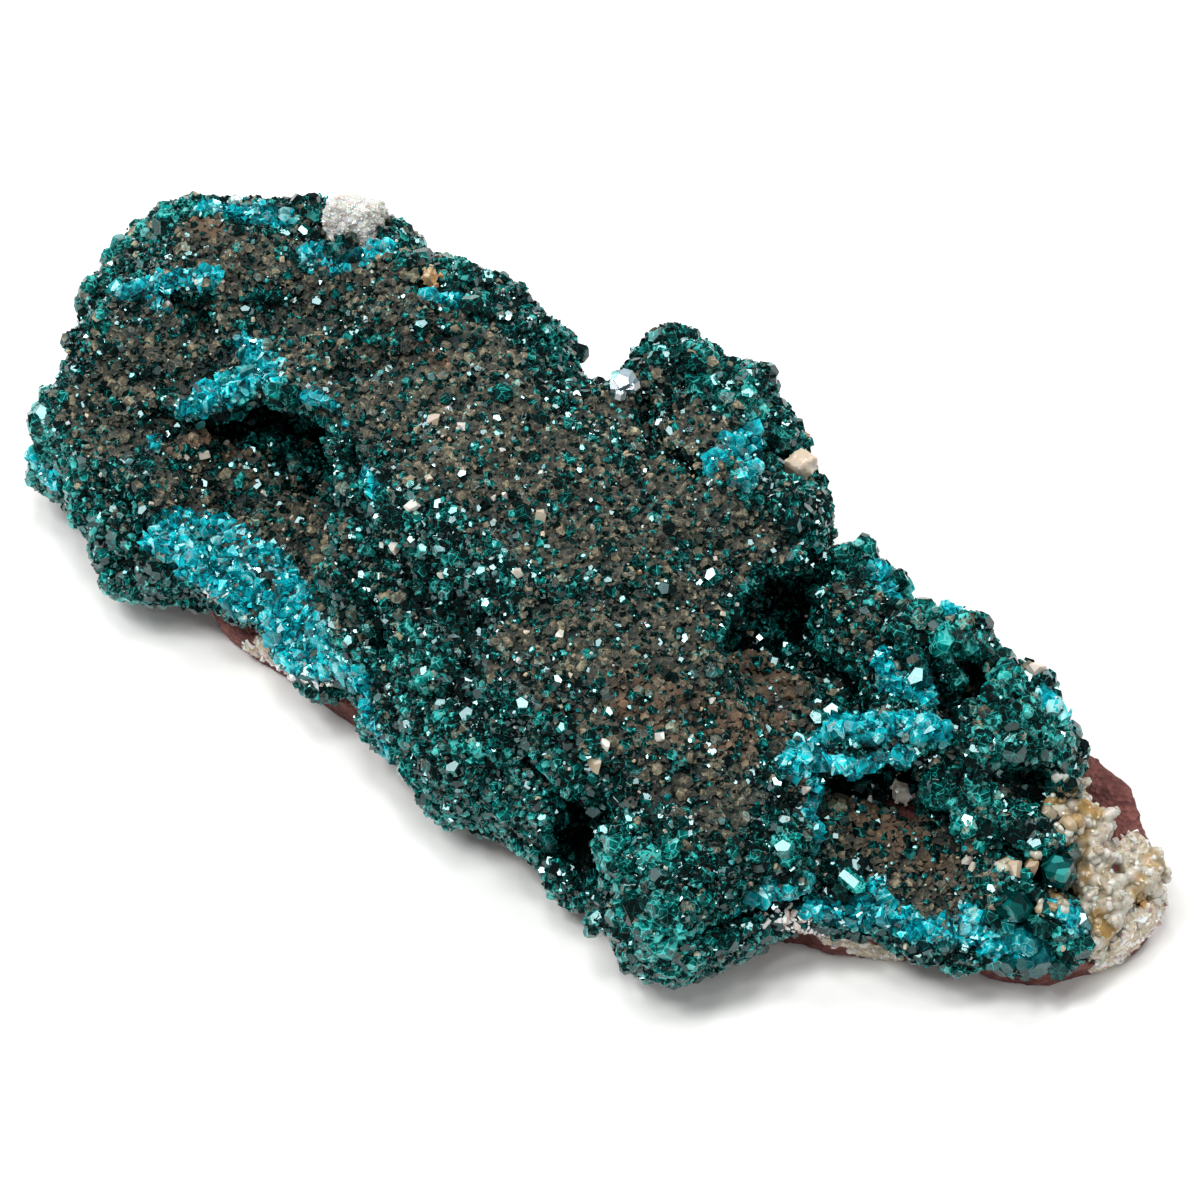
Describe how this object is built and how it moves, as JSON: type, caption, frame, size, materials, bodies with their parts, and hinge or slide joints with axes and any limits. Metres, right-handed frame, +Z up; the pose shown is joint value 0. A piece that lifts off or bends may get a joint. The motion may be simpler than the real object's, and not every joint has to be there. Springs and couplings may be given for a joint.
{
  "type": "dioptase specimen",
  "caption": "Elongated hand specimen: a green druse of small faceted dioptase crystals grown over a slab of red-brown rock, with ledges, hollows and pale calcite at one end.",
  "frame": {"origin": "middle of the specimen's footprint box, on the surface that it rests on", "axes": "+X along the specimen's length, from the rounded green end to the bare rock tip; +Y to the side with the tall knob; +Z up, out of the crystal-covered face"},
  "size_m": [0.0982, 0.0428, 0.022],
  "materials": {
    "sandstone": "matt, granular red-brown sandstone",
    "dioptase": "glassy faces of small deep blue-green crystals, dusted brown on top",
    "calcite": "cream, satin to translucent",
    "quartz": "white to clear, glassy"
  },
  "bodies": {
    "root": {"matrix_rock": "sandstone", "dioptase_crust": "dioptase", "dioptase_prism_upper": "dioptase", "dioptase_prism_lower": "dioptase", "calcite_druse": "calcite", "calcite_on_back_edge": "calcite", "calcite_behind_knob": "calcite", "calcite_in_hollow": "calcite", "quartz_knob": "quartz", "clear_quartz": "quartz"}
  },
  "joints": []
}
